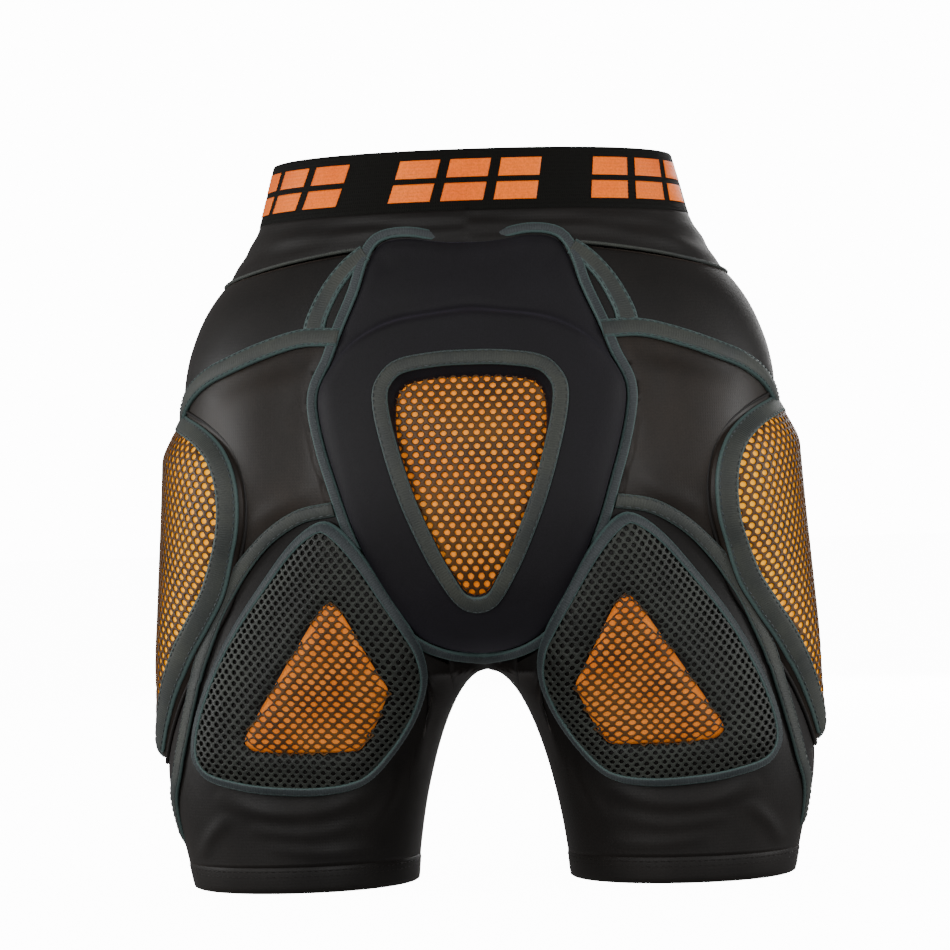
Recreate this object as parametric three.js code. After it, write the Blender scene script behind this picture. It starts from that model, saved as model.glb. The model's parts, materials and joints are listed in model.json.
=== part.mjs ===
// Padded impact shorts for skiing and snowboarding: a stretch fabric shell on an elastic
// waistband, with foam pads over the tailbone, both hips and the backs of both thighs.
// Millimetres, +Z up. The seat side faces -Y, and the wearer's right leg is on +X.
import * as THREE from "three";
import { mergeVertices } from "three/addons/utils/BufferGeometryUtils.js";

const { lerp, clamp, smoothstep } = THREE.MathUtils;

// ---- driving dimensions ----
const LET_OUT = 1.03; // every width below is let out by this
const WAIST_TOP = 441;
const BAND_BOTTOM = 403;
const YOKE_BOTTOM = 388;
const CROTCH = 129;
const HEM_TOP = 17;
const HEM_GAP = 46; // half the gap between the legs at the hems
const ARCH_POWER = 1.4; // how full the arch between the legs is
const INSEAM_ROUND = 66; // how far the cloth takes to close towards the inseam
const PIVOT = { y: -15, z: 250 }; // the axis of both leg hinges, along X
const PELVIS_REACH = 120; // pelvis cloth in front of and below the pivot stays inside this radius
const LEG_REACH = 124; // leg cloth there stays outside this one
const GUSSET = 20; // half the width of the crotch gusset
const LEG_START = 22; // a leg's cloth starts this far from the middle
const FRONT_SEAM = 0.15; // where the seat side meets the front, just past the side seam
const SIDE_ARC = 200; // cloth from the side seam to the centre back, near enough
const CLOTH = 1.2; // thickness of the stretch fabric
const LIFT = 1.6; // clearance between the shell and what lies on it
const SEAM = 1.2; // clearance between panels that are sewn together

// [height, value] rows, each joined by a smooth curve
const HALF_WIDTH = [
  [0, 180], [30, 184], [52, 184], [80, 180], [100, 178], [130, 176.5], [180, 176], [240, 177],
  [285, 176], [305, 174], [328, 169], [352, 159], [386, 136], [403, 128], [441, 118],
];
const BACK = [
  [0, -80], [80, -88], [129, -99], [170, -112], [210, -124], [250, -128], [304, -124],
  [352, -114], [403, -102], [441, -96],
];
const FRONT = [[0, 78], [80, 84], [129, 88], [210, 95], [250, 98], [304, 98], [403, 88], [441, 84]];

// Half the width of the tailbone panel at each height.
const TAIL_WIDTH = [
  [132, 2], [134, 13], [140, 28], [148, 38], [172, 51], [199, 65], [223, 75], [250, 84],
  [285, 91], [300, 90], [318, 84], [338, 76], [363, 66], [388, 59],
];
// Top of a leg's back cloth, by distance from the middle.
const LEG_TOP = [
  [22, 131], [37, 141], [51, 162], [64, 188], [72, 209], [79, 224], [94, 221], [110, 207],
  [138, 174], [150, 152], [160, 133], [168, 127], [180, 126],
];
// Seam between the upper hip and the seat, by place round the body.
const HIP_SEAM = [[-1, 333], [-0.67, 331], [-0.5, 324], [-0.25, 313], [0, 297], [0.15, 290]];

// ---- the body surface ----

// A smooth curve through [x, y] rows: cubic pieces that share the slope of the rows beside them.
function curve(rows) {
  const slope = (i) => {
    const before = rows[Math.max(i - 1, 0)];
    const after = rows[Math.min(i + 1, rows.length - 1)];
    return (after[1] - before[1]) / (after[0] - before[0]);
  };
  return (x) => {
    let i = 0;
    while (i < rows.length - 2 && x > rows[i + 1][0]) i += 1;
    const [x0, y0] = rows[i];
    const [x1, y1] = rows[i + 1];
    const t = clamp((x - x0) / (x1 - x0), 0, 1);
    const bend = t * (1 - t) * (x1 - x0);
    return lerp(y0, y1, t * t * (3 - 2 * t)) + bend * ((1 - t) * slope(i) - t * slope(i + 1));
  };
}
const halfWidth = curve(HALF_WIDTH);
const back = curve(BACK);
const front = curve(FRONT);
const tailWidth = curve(TAIL_WIDTH);
const legTop = curve(LEG_TOP);
const hipSeam = curve(HIP_SEAM);

const archWidth = (z) => HEM_GAP * Math.sqrt(Math.max(0, 1 - (Math.max(z, 0) / CROTCH) ** ARCH_POWER));
const archHeight = (x) => CROTCH * (1 - (Math.abs(x) / HEM_GAP) ** 2) ** (1 / ARCH_POWER);
const round = (t, power) => (1 - (1 - clamp(t, 0, 1)) ** power) ** (1 / power);
const legShare = (z) => 1 - smoothstep(z, CROTCH - 10, CROTCH + 80);

// y of the cloth at x >= 0 and height z, on the seat side (-1) or the front (+1).
function depth(x, z, side) {
  const arch = archWidth(z);
  const outer = halfWidth(z);
  const outerRound = lerp(outer, (outer - arch) / 2, legShare(z));
  const inner = Math.hypot(Math.max(x - arch, 0), Math.max(z - CROTCH, 0));
  const full = round((outer - x) / outerRound, 2.2) * round(inner / INSEAM_ROUND, 2);
  const half = (front(z) - back(z)) / 2;
  const seat = 7 * Math.exp(-(((x - 70) / 60) ** 2) - ((z - 222) / 62) ** 2);
  return (back(z) + front(z)) / 2 + side * full * (side < 0 ? half + seat : half);
}

// One half of the garment by place round it: -1 at the centre back or inseam, 0 at the side seam
// and 1 at the front. start is the least x, for a leg that stops beside the gusset.
function around(place, z, start = 0) {
  const turn = Math.abs(place) * Math.PI;
  const share = lerp(Math.cos(turn / 2), (1 + Math.cos(turn)) / 2, legShare(z));
  const x = lerp(Math.max(archWidth(z), start), halfWidth(z), share);
  return new THREE.Vector3(x, depth(x, z, place < 0 ? -1 : 1), z);
}

// The place round the body of a point x out on the seat side.
function placeAt(x, z, start = 0) {
  let [low, high] = [-1, 0];
  for (let i = 0; i < 24; i += 1) {
    const middle = (low + high) / 2;
    if (around(middle, z, start).x < x) low = middle;
    else high = middle;
  }
  return low;
}

// The height on a line round the body where the cloth is this far from the hinge axis.
function heightAtReach(place, reach) {
  let [low, high] = [100, 245];
  for (let i = 0; i < 24; i += 1) {
    const middle = (low + high) / 2;
    const point = around(place, middle);
    if (Math.hypot(point.y - PIVOT.y, point.z - PIVOT.z) > reach) low = middle;
    else high = middle;
  }
  return low;
}

// The outward normal of a surface given by two numbers.
function normalOf(surface, a, b, stepA, stepB) {
  const alongA = surface(a + stepA, b).sub(surface(a - stepA, b));
  const alongB = surface(a, b + stepB).sub(surface(a, b - stepB));
  return alongA.cross(alongB).normalize();
}

// Points a height above the cloth: by place round the body, by x and z on the seat side, and
// under the crotch by x and t, which runs from the front top (-1) down and up to the back (1).
function above(place, z, height, start = 0) {
  const surface = (a, b) => around(a, b, start);
  const normal = normalOf(surface, clamp(place, -0.985, 0.985), z, 0.012, 1.5);
  return around(place, z, start).addScaledVector(normal, height);
}

function aboveSeat(x, z, height) {
  const surface = (a, b) => new THREE.Vector3(a, depth(Math.abs(a), b, -1), b);
  return surface(x, z).addScaledVector(normalOf(surface, x, z, 1, 1), height);
}

function aboveGusset(x, t, height) {
  const surface = (a, b) => {
    const low = archHeight(a);
    const high = b < 0 ? heightAtReach(0.93, PELVIS_REACH) - 2 * SEAM : CROTCH + 2;
    const z = lerp(low, high, b * b);
    return new THREE.Vector3(a, depth(Math.abs(a), z, b < 0 ? 1 : -1), z);
  };
  return surface(x, t).addScaledVector(normalOf(surface, x, t, 0.5, 0.01), height);
}

// ---- named meshes ----
const shorts = new THREE.Group();

const fabric = (color, roughness) => new THREE.MeshStandardMaterial({ color, roughness, metalness: 0 });
const MATERIALS = {
  stretch: fabric(0x1c1817, 0.62),
  elastic: fabric(0x171611, 0.75),
  foam: fabric(0x2a2a2c, 0.9),
  cover: fabric(0x26242a, 0.5),
  binding: fabric(0x3b4142, 0.7),
  spacer: fabric(0x2f322e, 0.85),
  orange: fabric(0xe07a2a, 0.7),
};

function add(name, geometry, finish) {
  const mesh = new THREE.Mesh(geometry, MATERIALS[finish]);
  mesh.name = name;
  shorts.add(mesh);
}

// The same shape on the other side, its triangles turned round so that they still face out.
function mirrored(geometry) {
  const copy = geometry.clone();
  copy.scale(-1, 1, 1);
  for (let i = 0; i < copy.index.count; i += 3) {
    const second = copy.index.getX(i + 1);
    copy.index.setX(i + 1, copy.index.getX(i + 2));
    copy.index.setX(i + 2, second);
  }
  copy.computeVertexNormals();
  return copy;
}

function addPair(name, geometry, finish) {
  add(`right_${name}`, geometry, finish);
  add(`left_${name}`, mirrored(geometry), finish);
}

// Moves every vertex of a three.js geometry with place(vertex), as one closed surface.
function shaped(geometry, place) {
  geometry.deleteAttribute("normal");
  geometry.deleteAttribute("uv");
  const closed = mergeVertices(geometry, 1e-4);
  const points = closed.attributes.position;
  const vertex = new THREE.Vector3();
  for (let i = 0; i < points.count; i += 1) {
    points.setXYZ(i, ...place(vertex.fromBufferAttribute(points, i)));
  }
  closed.computeVertexNormals();
  return closed;
}

// A cloth panel: a thin box bent onto the body. low(u) and high(u) give the height of its bottom
// and top edges for u from 0 to 1, and across(u, z) the place round the body.
function panel(low, high, across, columns, rows, start = 0) {
  return shaped(new THREE.BoxGeometry(1, 1, 1, columns, rows, 1), (p) => {
    const u = p.x + 0.5;
    const z = lerp(low(u), high(u), p.y + 0.5);
    return above(across(u, z), z, (p.z - 0.5) * CLOTH, start);
  });
}

// The height where going up a line of fixed u first passes limit(place, z).
function heightAtLimit(u, across, limit) {
  let [low, high] = [100, 340];
  for (let i = 0; i < 24; i += 1) {
    const middle = (low + high) / 2;
    if (middle < limit(across(u, middle), middle)) low = middle;
    else high = middle;
  }
  return low;
}

// A flat tape laid along points of [x, z] on the seat side.
function tape(points, width, steps, height) {
  const line = new THREE.CatmullRomCurve3(points.map(([x, z]) => new THREE.Vector3(x, 0, z)));
  return shaped(new THREE.BoxGeometry(1, 1, 1, steps, 1, 1), (p) => {
    const middle = line.getPoint(p.x + 0.5);
    const along = line.getTangent(p.x + 0.5);
    const x = middle.x - along.z * width * p.y;
    const z = middle.z + along.x * width * p.y;
    return above(placeAt(x, z), z, LIFT + height * (p.z + 0.5));
  });
}

// A band right round the body or round one leg, with level top and bottom edges.
function loop(low, high, segments, inner, outer, ofLeg) {
  const section = [[1, 0], [2, 0], [2, 1], [1, 1], [1, 0]].map(([r, h]) => new THREE.Vector2(r, h));
  return shaped(new THREE.LatheGeometry(section, segments), (p) => {
    const turn = Math.atan2(p.x, p.z) / Math.PI;
    const place = ofLeg ? turn : 2 * Math.abs(turn) - 1;
    const z = lerp(low, high, p.y);
    const point = around(place, z);
    const out = above(place, z, 1).sub(point).setZ(0).normalize();
    point.addScaledVector(out, lerp(inner, outer, Math.hypot(p.x, p.z) - 1));
    const middle = Math.abs(place) > 0.9999 && !ofLeg;
    const side = ofLeg ? 1 : Math.sign(turn);
    return point.setX(middle ? 0 : point.x * side);
  });
}

const outline = (points) => new THREE.CatmullRomCurve3(
  points.map(([x, z]) => new THREE.Vector3(x, 0, z)), true, "centripetal",
);

// A pad's layer: a lathe profile of [reach, height] pressed onto the body. Reach is 0 in the
// middle, 1 on the window's outline and 2 on the pad's, and the lathe's angle runs round both.
function layer(pad, profile) {
  const points = profile.map(([r, h]) => new THREE.Vector2(r, h));
  return shaped(new THREE.LatheGeometry(points, pad.segments), (p) => {
    const reach = Math.hypot(p.x, p.z);
    const share = reach < 1e-6 ? 0 : (Math.atan2(p.x, p.z) / (2 * Math.PI) + 1) % 1;
    const window = pad.window.getPoint(share);
    const rim = pad.rim.getPoint(share);
    const spot = reach < 1
      ? new THREE.Vector3(pad.middle[0], 0, pad.middle[1]).lerp(window, reach)
      : window.lerp(rim, reach - 1);
    return pad.place(spot.x, spot.z, p.y);
  });
}

// Foam block: it follows the shell underneath, and its top is stepped down under the window.
const foamProfile = ({ thick, well, lift }) => [
  [0, lift], [0.5, lift], [1, lift], [1.45, lift], [1.78, lift], [1.74, 0.45 * thick],
  [1.6, 0.72 * thick - 1], [1.3, thick - 3.2], [1.14, thick - 3.2], [1.1, well], [0.93, well],
  [0.5, well], [0, well],
];
// Cover: a shell over the foam with a hole for the window.
const coverProfile = ({ thick, lift }) => [
  [1.86, lift], [1.97, lift], [1.93, 0.5 * thick], [1.68, 0.82 * thick], [1.36, thick], [1.12, thick],
  [1.12, thick - 1.6], [1.34, thick - 1.6], [1.63, 0.82 * thick - 1.3], [1.83, 0.48 * thick],
  [1.86, lift],
];
// Tape bound round the window's edge.
const windowTapeProfile = ({ thick, well }) => [
  [0.98, well + 1], [1.07, well + 1], [1.07, thick + 1.2], [0.98, thick + 1.2], [0.98, well + 1],
];
// Perforated mesh that shows in the window, domed over the foam.
const meshProfile = ({ well, dome }) => [
  [0, well + 1.8], [0.5, well + 1.8], [0.93, well + 1.8], [0.93, well + 2.8],
  [0.5, well + 2.8 + 0.75 * dome], [0, well + 2.8 + dome],
];
// Tape round the pad's own edge.
const edgeTapeProfile = ({ tapeWidth, lift }) => [
  [2, lift], [2 + tapeWidth, lift], [2 + tapeWidth, lift + 2.2], [2, lift + 2.2], [2, lift],
];

// ---- waist ----
function buildWaist() {
  add("waistband", loop(BAND_BOTTOM + SEAM, WAIST_TOP, 36, -1.6, 0.9, false), "elastic");
  add("waist_yoke", loop(YOKE_BOTTOM, BAND_BOTTOM, 36, -CLOTH, 0, false), "stretch");
}

// ---- panels of the pelvis ----
const besideTail = (u, z) => lerp(placeAt(tailWidth(z) + 2.5, z), FRONT_SEAM, u);
const onHipSeam = (u) => heightAtLimit(u, besideTail, (place) => hipSeam(place));

function buildPelvisPanels() {
  const yokeEdge = () => YOKE_BOTTOM - SEAM;
  addPair("upper_hip_panel", panel((u) => onHipSeam(u) + SEAM, yokeEdge, besideTail, 8, 4), "stretch");

  const aboveLeg = (place, z) => (place > 0
    ? heightAtReach(place, PELVIS_REACH)
    : legTop(around(place, z).x) + 3 * SEAM);
  const seatLow = (u) => heightAtLimit(u, besideTail, aboveLeg);
  addPair("seat_panel", panel(seatLow, onHipSeam, besideTail, 9, 8), "stretch");

  const frontPlace = (u) => lerp(FRONT_SEAM + 0.01, 0.997, u);
  const frontLow = (u) => heightAtReach(frontPlace(u), PELVIS_REACH);
  addPair("front_panel", panel(frontLow, yokeEdge, frontPlace, 7, 9), "stretch");
}

function buildGusset() {
  const strip = new THREE.BoxGeometry(1, 1, 1, 4, 14, 1);
  const shape = (p) => aboveGusset(p.x * 2 * GUSSET, p.y * 2, (p.z - 0.5) * CLOTH);
  add("crotch_gusset", shaped(strip, shape), "stretch");
}

// ---- tailbone pad ----
function buildTailPad() {
  const liner = new THREE.BoxGeometry(1, 1, 1, 8, 12, 1);
  add("tail_liner", shaped(liner, (p) => {
    const z = lerp(CROTCH + 4.5, YOKE_BOTTOM - SEAM, p.y + 0.5);
    return aboveSeat(2 * p.x * tailWidth(z), z, (p.z - 0.5) * CLOTH);
  }), "stretch");

  const pad = {
    segments: 24, thick: 14, well: 7, dome: 4, lift: 4.2, tapeWidth: 0.1, middle: [0, 245],
    place: aboveSeat,
    window: outline([
      [0, 163], [14, 171], [28, 196], [41, 232], [52, 272], [55, 297], [44, 314], [16, 320],
      [-16, 320], [-44, 314], [-55, 297], [-52, 272], [-41, 232], [-28, 196], [-14, 171],
    ]),
    rim: outline([
      [0, 137], [26, 143], [49, 175], [72, 224], [86, 272], [86, 304], [74, 336], [58, 375],
      [26, 384], [-26, 384], [-58, 375], [-74, 336], [-86, 304], [-86, 272], [-72, 224],
      [-49, 175], [-26, 143],
    ]),
  };
  add("tail_pad_foam", layer(pad, foamProfile(pad)), "foam");
  add("tail_pad_cover", layer(pad, coverProfile(pad)), "cover");
  add("tail_window_tape", layer(pad, windowTapeProfile(pad)), "binding");
  add("tail_window_mesh", layer(pad, meshProfile(pad)), "orange");
  add("tail_panel_tape", layer(pad, edgeTapeProfile(pad)), "binding");
}

// ---- hip pads, laid out by distance round the body from the side seam, and height ----
function buildHipPads() {
  const standOff = (z) => 12 * (1 - smoothstep(z, 130, 205)); // clear of the leg below
  const pad = {
    segments: 22, thick: 12, well: 6.5, dome: 3.5, lift: LIFT, tapeWidth: 0.12, middle: [-6, 205],
    place: (along, z, height) => above(along / SIDE_ARC, z, height + standOff(z)),
    window: outline([
      [-6, 104], [9, 132], [31, 181], [42, 225], [30, 258], [-6, 275], [-42, 262], [-60, 238],
      [-56, 198], [-38, 156], [-22, 124],
    ]),
    rim: outline([
      [-6, 88], [16, 122], [45, 178], [58, 228], [42, 270], [-6, 290], [-52, 278], [-76, 245],
      [-72, 198], [-52, 152], [-30, 116],
    ]),
  };
  addPair("hip_pad_foam", layer(pad, foamProfile(pad)), "foam");
  addPair("hip_pad_cover", layer(pad, coverProfile(pad)), "cover");
  addPair("hip_window_tape", layer(pad, windowTapeProfile(pad)), "binding");
  addPair("hip_window_mesh", layer(pad, meshProfile(pad)), "orange");
  addPair("hip_edge_tape", layer(pad, edgeTapeProfile(pad)), "binding");
  addPair("hip_seam_tape", tape([[93, 333], [122, 325], [156, 314], [172, 302]], 9, 12, 1), "binding");
  addPair("hip_branch_tape", tape([[72, 377], [84, 366], [93, 352], [95, 341]], 9, 5, 1), "binding");
}

// ---- legs ----
function buildLegs() {
  const hemEdge = () => HEM_TOP + SEAM;
  const backPlace = (u, z) => {
    const inner = z > CROTCH ? -1 : -0.993;
    return lerp(inner, -0.004, u);
  };
  const backTop = (u) => heightAtLimit(u, backPlace, (place, z) => legTop(around(place, z, LEG_START).x));
  addPair("leg_back_panel", panel(hemEdge, backTop, backPlace, 12, 8, LEG_START), "stretch");

  const frontPlace = (u) => lerp(0.006, 0.993, u);
  const frontTop = (u) => heightAtReach(frontPlace(u), LEG_REACH);
  addPair("leg_front_panel", panel(hemEdge, frontTop, frontPlace, 10, 7, LEG_START), "stretch");

  addPair("leg_hem", loop(0, HEM_TOP, 24, -1.6, 0.4, true), "stretch");
}

// ---- thigh pads ----
function buildThighPads() {
  const pad = {
    segments: 22, thick: 12, lift: LIFT, tapeWidth: 0.13, middle: [97, 120],
    place: (x, z, height) => above(placeAt(x, z), z, height),
    window: outline([
      [82, 88], [134, 87], [140, 95], [120, 131], [93, 168], [84, 171], [72, 150], [60, 126],
    ]),
    rim: outline([
      [78, 60], [116, 55], [147, 64], [160, 90], [152, 124], [133, 161], [104, 194], [85, 210],
      [67, 187], [48, 152], [43, 126], [54, 90],
    ]),
  };
  const { thick, lift } = pad;
  const cover = [
    [1.86, lift], [1.97, lift], [1.93, 0.5 * thick], [1.6, 0.85 * thick], [1.2, thick],
    [0.6, thick + 1], [0, thick + 1], [0, thick - 0.5], [0.6, thick - 0.5], [1.18, thick - 1.6],
    [1.55, 0.85 * thick - 1.4], [1.83, 0.48 * thick], [1.86, lift],
  ];
  const foam = [
    [0, lift], [0.5, lift], [1, lift], [1.45, lift], [1.78, lift], [1.74, 0.42 * thick],
    [1.48, 0.85 * thick - 2.6], [1.16, thick - 2.8], [0.6, thick - 2.8], [0, thick - 2.8],
  ];
  const patch = [
    [0, thick + 2.2], [0.6, thick + 2.2], [1, thick + 2.2], [1, thick + 3.2], [0.6, thick + 3.2],
    [0, thick + 3.2],
  ];
  addPair("thigh_pad_foam", layer(pad, foam), "foam");
  addPair("thigh_pad_cover", layer(pad, cover), "spacer");
  addPair("thigh_patch", layer(pad, patch), "orange");
  addPair("thigh_edge_tape", layer(pad, edgeTapeProfile(pad)), "binding");
  const route = [[104, 209], [127, 185], [147, 152], [161, 120], [168, 90], [172, 60], [173, 30]];
  addPair("leg_diagonal_tape", tape(route, 5, 12, 1), "binding");
}

buildWaist();
buildPelvisPanels();
buildGusset();
buildTailPad();
buildHipPads();
buildLegs();
buildThighPads();

shorts.scale.x = LET_OUT;

// The origin is under the middle of the garment.
const box = new THREE.Box3().setFromObject(shorts);
shorts.position.y = -(box.min.y + box.max.y) / 2;

export default shorts;
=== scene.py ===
import json
from math import pi, radians

import bpy
import numpy as np
from mathutils import Matrix, Vector


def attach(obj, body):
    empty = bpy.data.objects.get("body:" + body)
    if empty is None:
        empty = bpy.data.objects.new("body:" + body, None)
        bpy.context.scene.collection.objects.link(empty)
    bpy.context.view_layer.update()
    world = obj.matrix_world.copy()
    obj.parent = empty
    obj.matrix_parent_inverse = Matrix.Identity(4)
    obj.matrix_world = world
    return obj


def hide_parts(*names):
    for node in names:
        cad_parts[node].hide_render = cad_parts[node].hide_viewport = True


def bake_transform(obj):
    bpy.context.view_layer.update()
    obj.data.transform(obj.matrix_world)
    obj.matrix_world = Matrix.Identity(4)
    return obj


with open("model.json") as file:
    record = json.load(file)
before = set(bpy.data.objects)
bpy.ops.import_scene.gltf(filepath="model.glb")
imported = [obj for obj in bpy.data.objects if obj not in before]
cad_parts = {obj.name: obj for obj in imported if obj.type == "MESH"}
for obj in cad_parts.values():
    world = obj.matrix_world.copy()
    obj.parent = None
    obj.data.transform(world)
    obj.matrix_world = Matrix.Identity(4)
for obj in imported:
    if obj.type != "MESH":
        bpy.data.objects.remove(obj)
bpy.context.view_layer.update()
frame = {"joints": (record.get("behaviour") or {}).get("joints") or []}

mm = 0.001  # metres

# Padded impact shorts, seen from behind. Shapes are laid out in millimetres on the pattern, whose
# y starts at the side seams, and toRow lets them out and brings them to the row frame.

hinge = next(j for j in frame["joints"] if j["name"] == "right_hip_flexion")
pattern = dict(letOut=1.03, hingeY=-15.0)
patternShift = np.array([0.0, hinge["pos_m"][1] * 1000 - pattern["hingeY"], 0.0])


def toRow(points):
    # row point = (pattern point with its width let out + shift) / 1000
    return (np.asarray(points, float) * [pattern["letOut"], 1, 1] + patternShift) * mm


# Curves

def smooth(t):
    # 3t² - 2t³ between 0 and 1
    t = np.clip(t, 0, 1)
    return t * t * (3 - 2 * t)


def together(*values):
    # the values as arrays of one shape
    return np.broadcast_arrays(*[np.asarray(value, float) for value in values])


def flatPoints(x, z):
    return np.stack(together(x, z), -1)


def level(height):
    # a ground of one height everywhere
    return lambda flat: np.full(flat.shape[:-1], height)


def mix(a, b, t):
    return a + (b - a) * t


def hermite(knots, values, slopes, at):
    # cubic between two knots: each end's value and slope, weighted by the four Hermite terms
    i = np.clip(np.searchsorted(knots, at, side="right") - 1, 0, len(knots) - 2)
    span = knots[i + 1] - knots[i]
    t = np.clip((at - knots[i]) / span, 0, 1)
    if values.ndim > 1:
        span, t = span[..., None], t[..., None]
    s = smooth(t)
    bend = t * (1 - t) * span * ((1 - t) * slopes[i] - t * slopes[i + 1])
    return values[i] * (1 - s) + values[i + 1] * s + bend


def through(rows, at):
    # smooth curve through [x, y] rows; a row's slope is that of the line between its neighbours
    x, y = np.array(rows, float).T
    px, py = np.pad(x, 1, mode="edge"), np.pad(y, 1, mode="edge")
    return hermite(x, y, (py[2:] - py[:-2]) / (px[2:] - px[:-2]), np.asarray(at, float))


def lengthAlong(line):
    # distance along a line to each of its points
    return np.concatenate([[0], np.cumsum(np.linalg.norm(np.diff(line, axis=0), axis=1))])


def closedUp(line, closed):
    return np.vstack([line, line[:1]]) if closed else line


def evenly(line, count, closed):
    # the same line with its points spread evenly along its length
    ends = closedUp(line, closed)
    length = lengthAlong(ends)
    at = np.linspace(0, length[-1], count, endpoint=not closed)
    return np.stack([np.interp(at, length, ends[:, k]) for k in range(ends.shape[1])], -1)


ringPoints = 200  # points of a closed outline


def loopThrough(points, fine=1200):
    # closed smooth curve through the points, then spread evenly
    p = np.array(points, float)
    p = np.vstack([p[-1:], p, p[:2]])
    knots = lengthAlong(p)
    slopes = (p[2:] - p[:-2]) / (knots[2:] - knots[:-2])[:, None]
    inner = knots[1:-1]
    at = np.linspace(inner[0], inner[-1], fine, endpoint=False)
    return evenly(hermite(inner, p[1:-1], slopes, at), ringPoints, True)


def lineThrough(points, count, fine=600):
    # open smooth curve through the points, then spread evenly
    p = np.array(points, float)
    knots = lengthAlong(p)
    q, k = np.vstack([p[:1], p, p[-1:]]), np.pad(knots, 1, mode="edge")
    slopes = (q[2:] - q[:-2]) / (k[2:] - k[:-2])[:, None]
    return evenly(hermite(knots, p, slopes, np.linspace(0, knots[-1], fine)), count, False)


def bothHalves(points):
    # an outline given from its bottom middle up one side, closed with its mirror image
    p = np.array(points, float)
    other = p[p[:, 0] > 0.01][::-1] * [-1, 1]
    return np.vstack([p, other])


def unit(v):
    return v / np.maximum(np.linalg.norm(v, axis=-1, keepdims=True), 1e-9)


def leftOf(line, closed):
    # unit vectors to the left of a flat line
    step = np.roll(line, -1, 0) - np.roll(line, 1, 0) if closed else np.gradient(line, axis=0)
    step = unit(step)
    return np.stack([-step[:, 1], step[:, 0]], -1)


def inset(loop, distance, share=0.82, slack=0.05, shrink=0.85):
    # an outline drawn this far inside one that runs anticlockwise, and less far where a tip is
    # too narrow for it: the reach shrinks until the point is nearly that deep inside
    away, reach = leftOf(loop, True), np.zeros(len(loop)) + distance
    for _ in range(14):
        spot = loop + away * reach[:, None]
        tight = (reach > 0) & (depthInside(spot, loop) < share * reach - slack)
        reach = np.where(tight, reach * shrink, reach)
    reach = np.mean([np.roll(reach, k) for k in range(-3, 4)], axis=0)
    return loop + away * reach[:, None]


def inside(points, loop):
    # even-odd rule: counts the outline's edges that cross a line to the right of each point
    x, z = points[..., 0][..., None], points[..., 1][..., None]
    x0, z0 = loop[:, 0], loop[:, 1]
    x1, z1 = np.roll(x0, -1), np.roll(z0, -1)
    at = x0 + (z - z0) * (x1 - x0) / np.where(z1 == z0, 1e-9, z1 - z0)
    return (((z0 > z) != (z1 > z)) & (x < at)).sum(-1) % 2 == 1


def depthInside(points, loop):
    # shortest distance to the outline over all its segments, negative outside
    a, ab = loop, np.roll(loop, -1, 0) - loop
    rel = points[..., None, :] - a
    t = np.clip((rel * ab).sum(-1) / (ab * ab).sum(-1), 0, 1)
    near = np.linalg.norm(rel - t[..., None] * ab, axis=-1).min(-1)
    return np.where(inside(points, loop), near, -near)


# The body that the cloth is stretched over

body = dict(
    halfWidth=[[0, 179], [16, 182], [32, 185.5], [47, 189.5], [62, 192], [78, 192.5], [94, 190.5],
               [109, 188], [124, 185.5], [155, 182.5], [186, 180], [217, 177.5], [248, 175.5],
               [270, 174.5], [294, 174.5], [308, 173], [328, 168], [352, 158], [386, 136],
               [403, 128], [441, 118]],
    back=[[0, -80], [80, -88], [129, -99], [170, -112], [210, -124], [250, -128], [304, -124],
          [352, -114], [403, -102], [441, -96]],
    front=[[0, 78], [80, 84], [129, 88], [210, 95], [250, 98], [304, 98], [403, 88], [441, 84]],
    crotch=129.0, hemGap=46.0, archPower=1.4, inseamRound=66.0,
    seat=dict(x=70, z=222, wide=60, tall=62, out=7),
    sideArc=200.0,  # cloth from the side seam to the centre back
    gusset=20.0,
)


def archWidth(z):
    # half the gap between the legs: a power curve that closes at the crotch
    t = np.clip(z, 0, None) / body["crotch"]
    return body["hemGap"] * np.sqrt(np.clip(1 - t ** body["archPower"], 0, None))


def archHeight(x):
    # the same curve the other way: the height of the crotch arch at x
    t = np.clip(np.abs(x) / body["hemGap"], 0, 1)
    return body["crotch"] * (1 - t * t) ** (1 / body["archPower"])


def roundOff(t, power):
    # superellipse quarter: (1 - (1 - t)^p)^(1/p)
    return (1 - (1 - np.clip(t, 0, 1)) ** power) ** (1 / power)


def legShare(z):
    return 1 - smooth((z - body["crotch"] + 10) / 90)


def bodyDepth(x, z, side):
    # y = middle ± half depth × how far in from the side seam × how far in from the inseam
    outer, arch = through(body["halfWidth"], z), archWidth(z)
    back, front = through(body["back"], z), through(body["front"], z)
    outerRound = mix(outer, (outer - arch) / 2, legShare(z))
    inner = np.hypot(np.clip(x - arch, 0, None), np.clip(z - body["crotch"], 0, None))
    full = roundOff((outer - x) / outerRound, 2.2) * roundOff(inner / body["inseamRound"], 2)
    s = body["seat"]
    near = np.hypot(x, 20.0)
    lobe = s["out"] * np.exp(-((near - s["x"]) / s["wide"]) ** 2 - ((z - s["z"]) / s["tall"]) ** 2)
    half = (front - back) / 2 + np.where(side < 0, lobe, 0)
    return (back + front) / 2 + side * full * half


def aroundBody(place, z, start=0.0):
    # place goes round one half: -1 centre back or inseam, 0 side seam, 1 centre front
    place, z = together(place, z)
    turn = np.abs(place) * pi
    share = mix(np.cos(turn / 2), (1 + np.cos(turn)) / 2, legShare(z))
    x = mix(np.maximum(archWidth(z), start), through(body["halfWidth"], z), share)
    return np.stack([x, bodyDepth(x, z, np.where(place < 0, -1.0, 1.0)), z], -1)


def seatBody(x, z):
    # the seat side by x and z, both halves
    x, z = together(x, z)
    return np.stack([x, bodyDepth(np.abs(x), z, -1.0), z], -1)


def thighBody(x, z):
    # the same averaged over a band of heights, as a pad bridges the fold under the seat
    return np.mean([seatBody(x, z + step) for step in np.linspace(-16, 16, 9)], axis=0)


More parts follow.
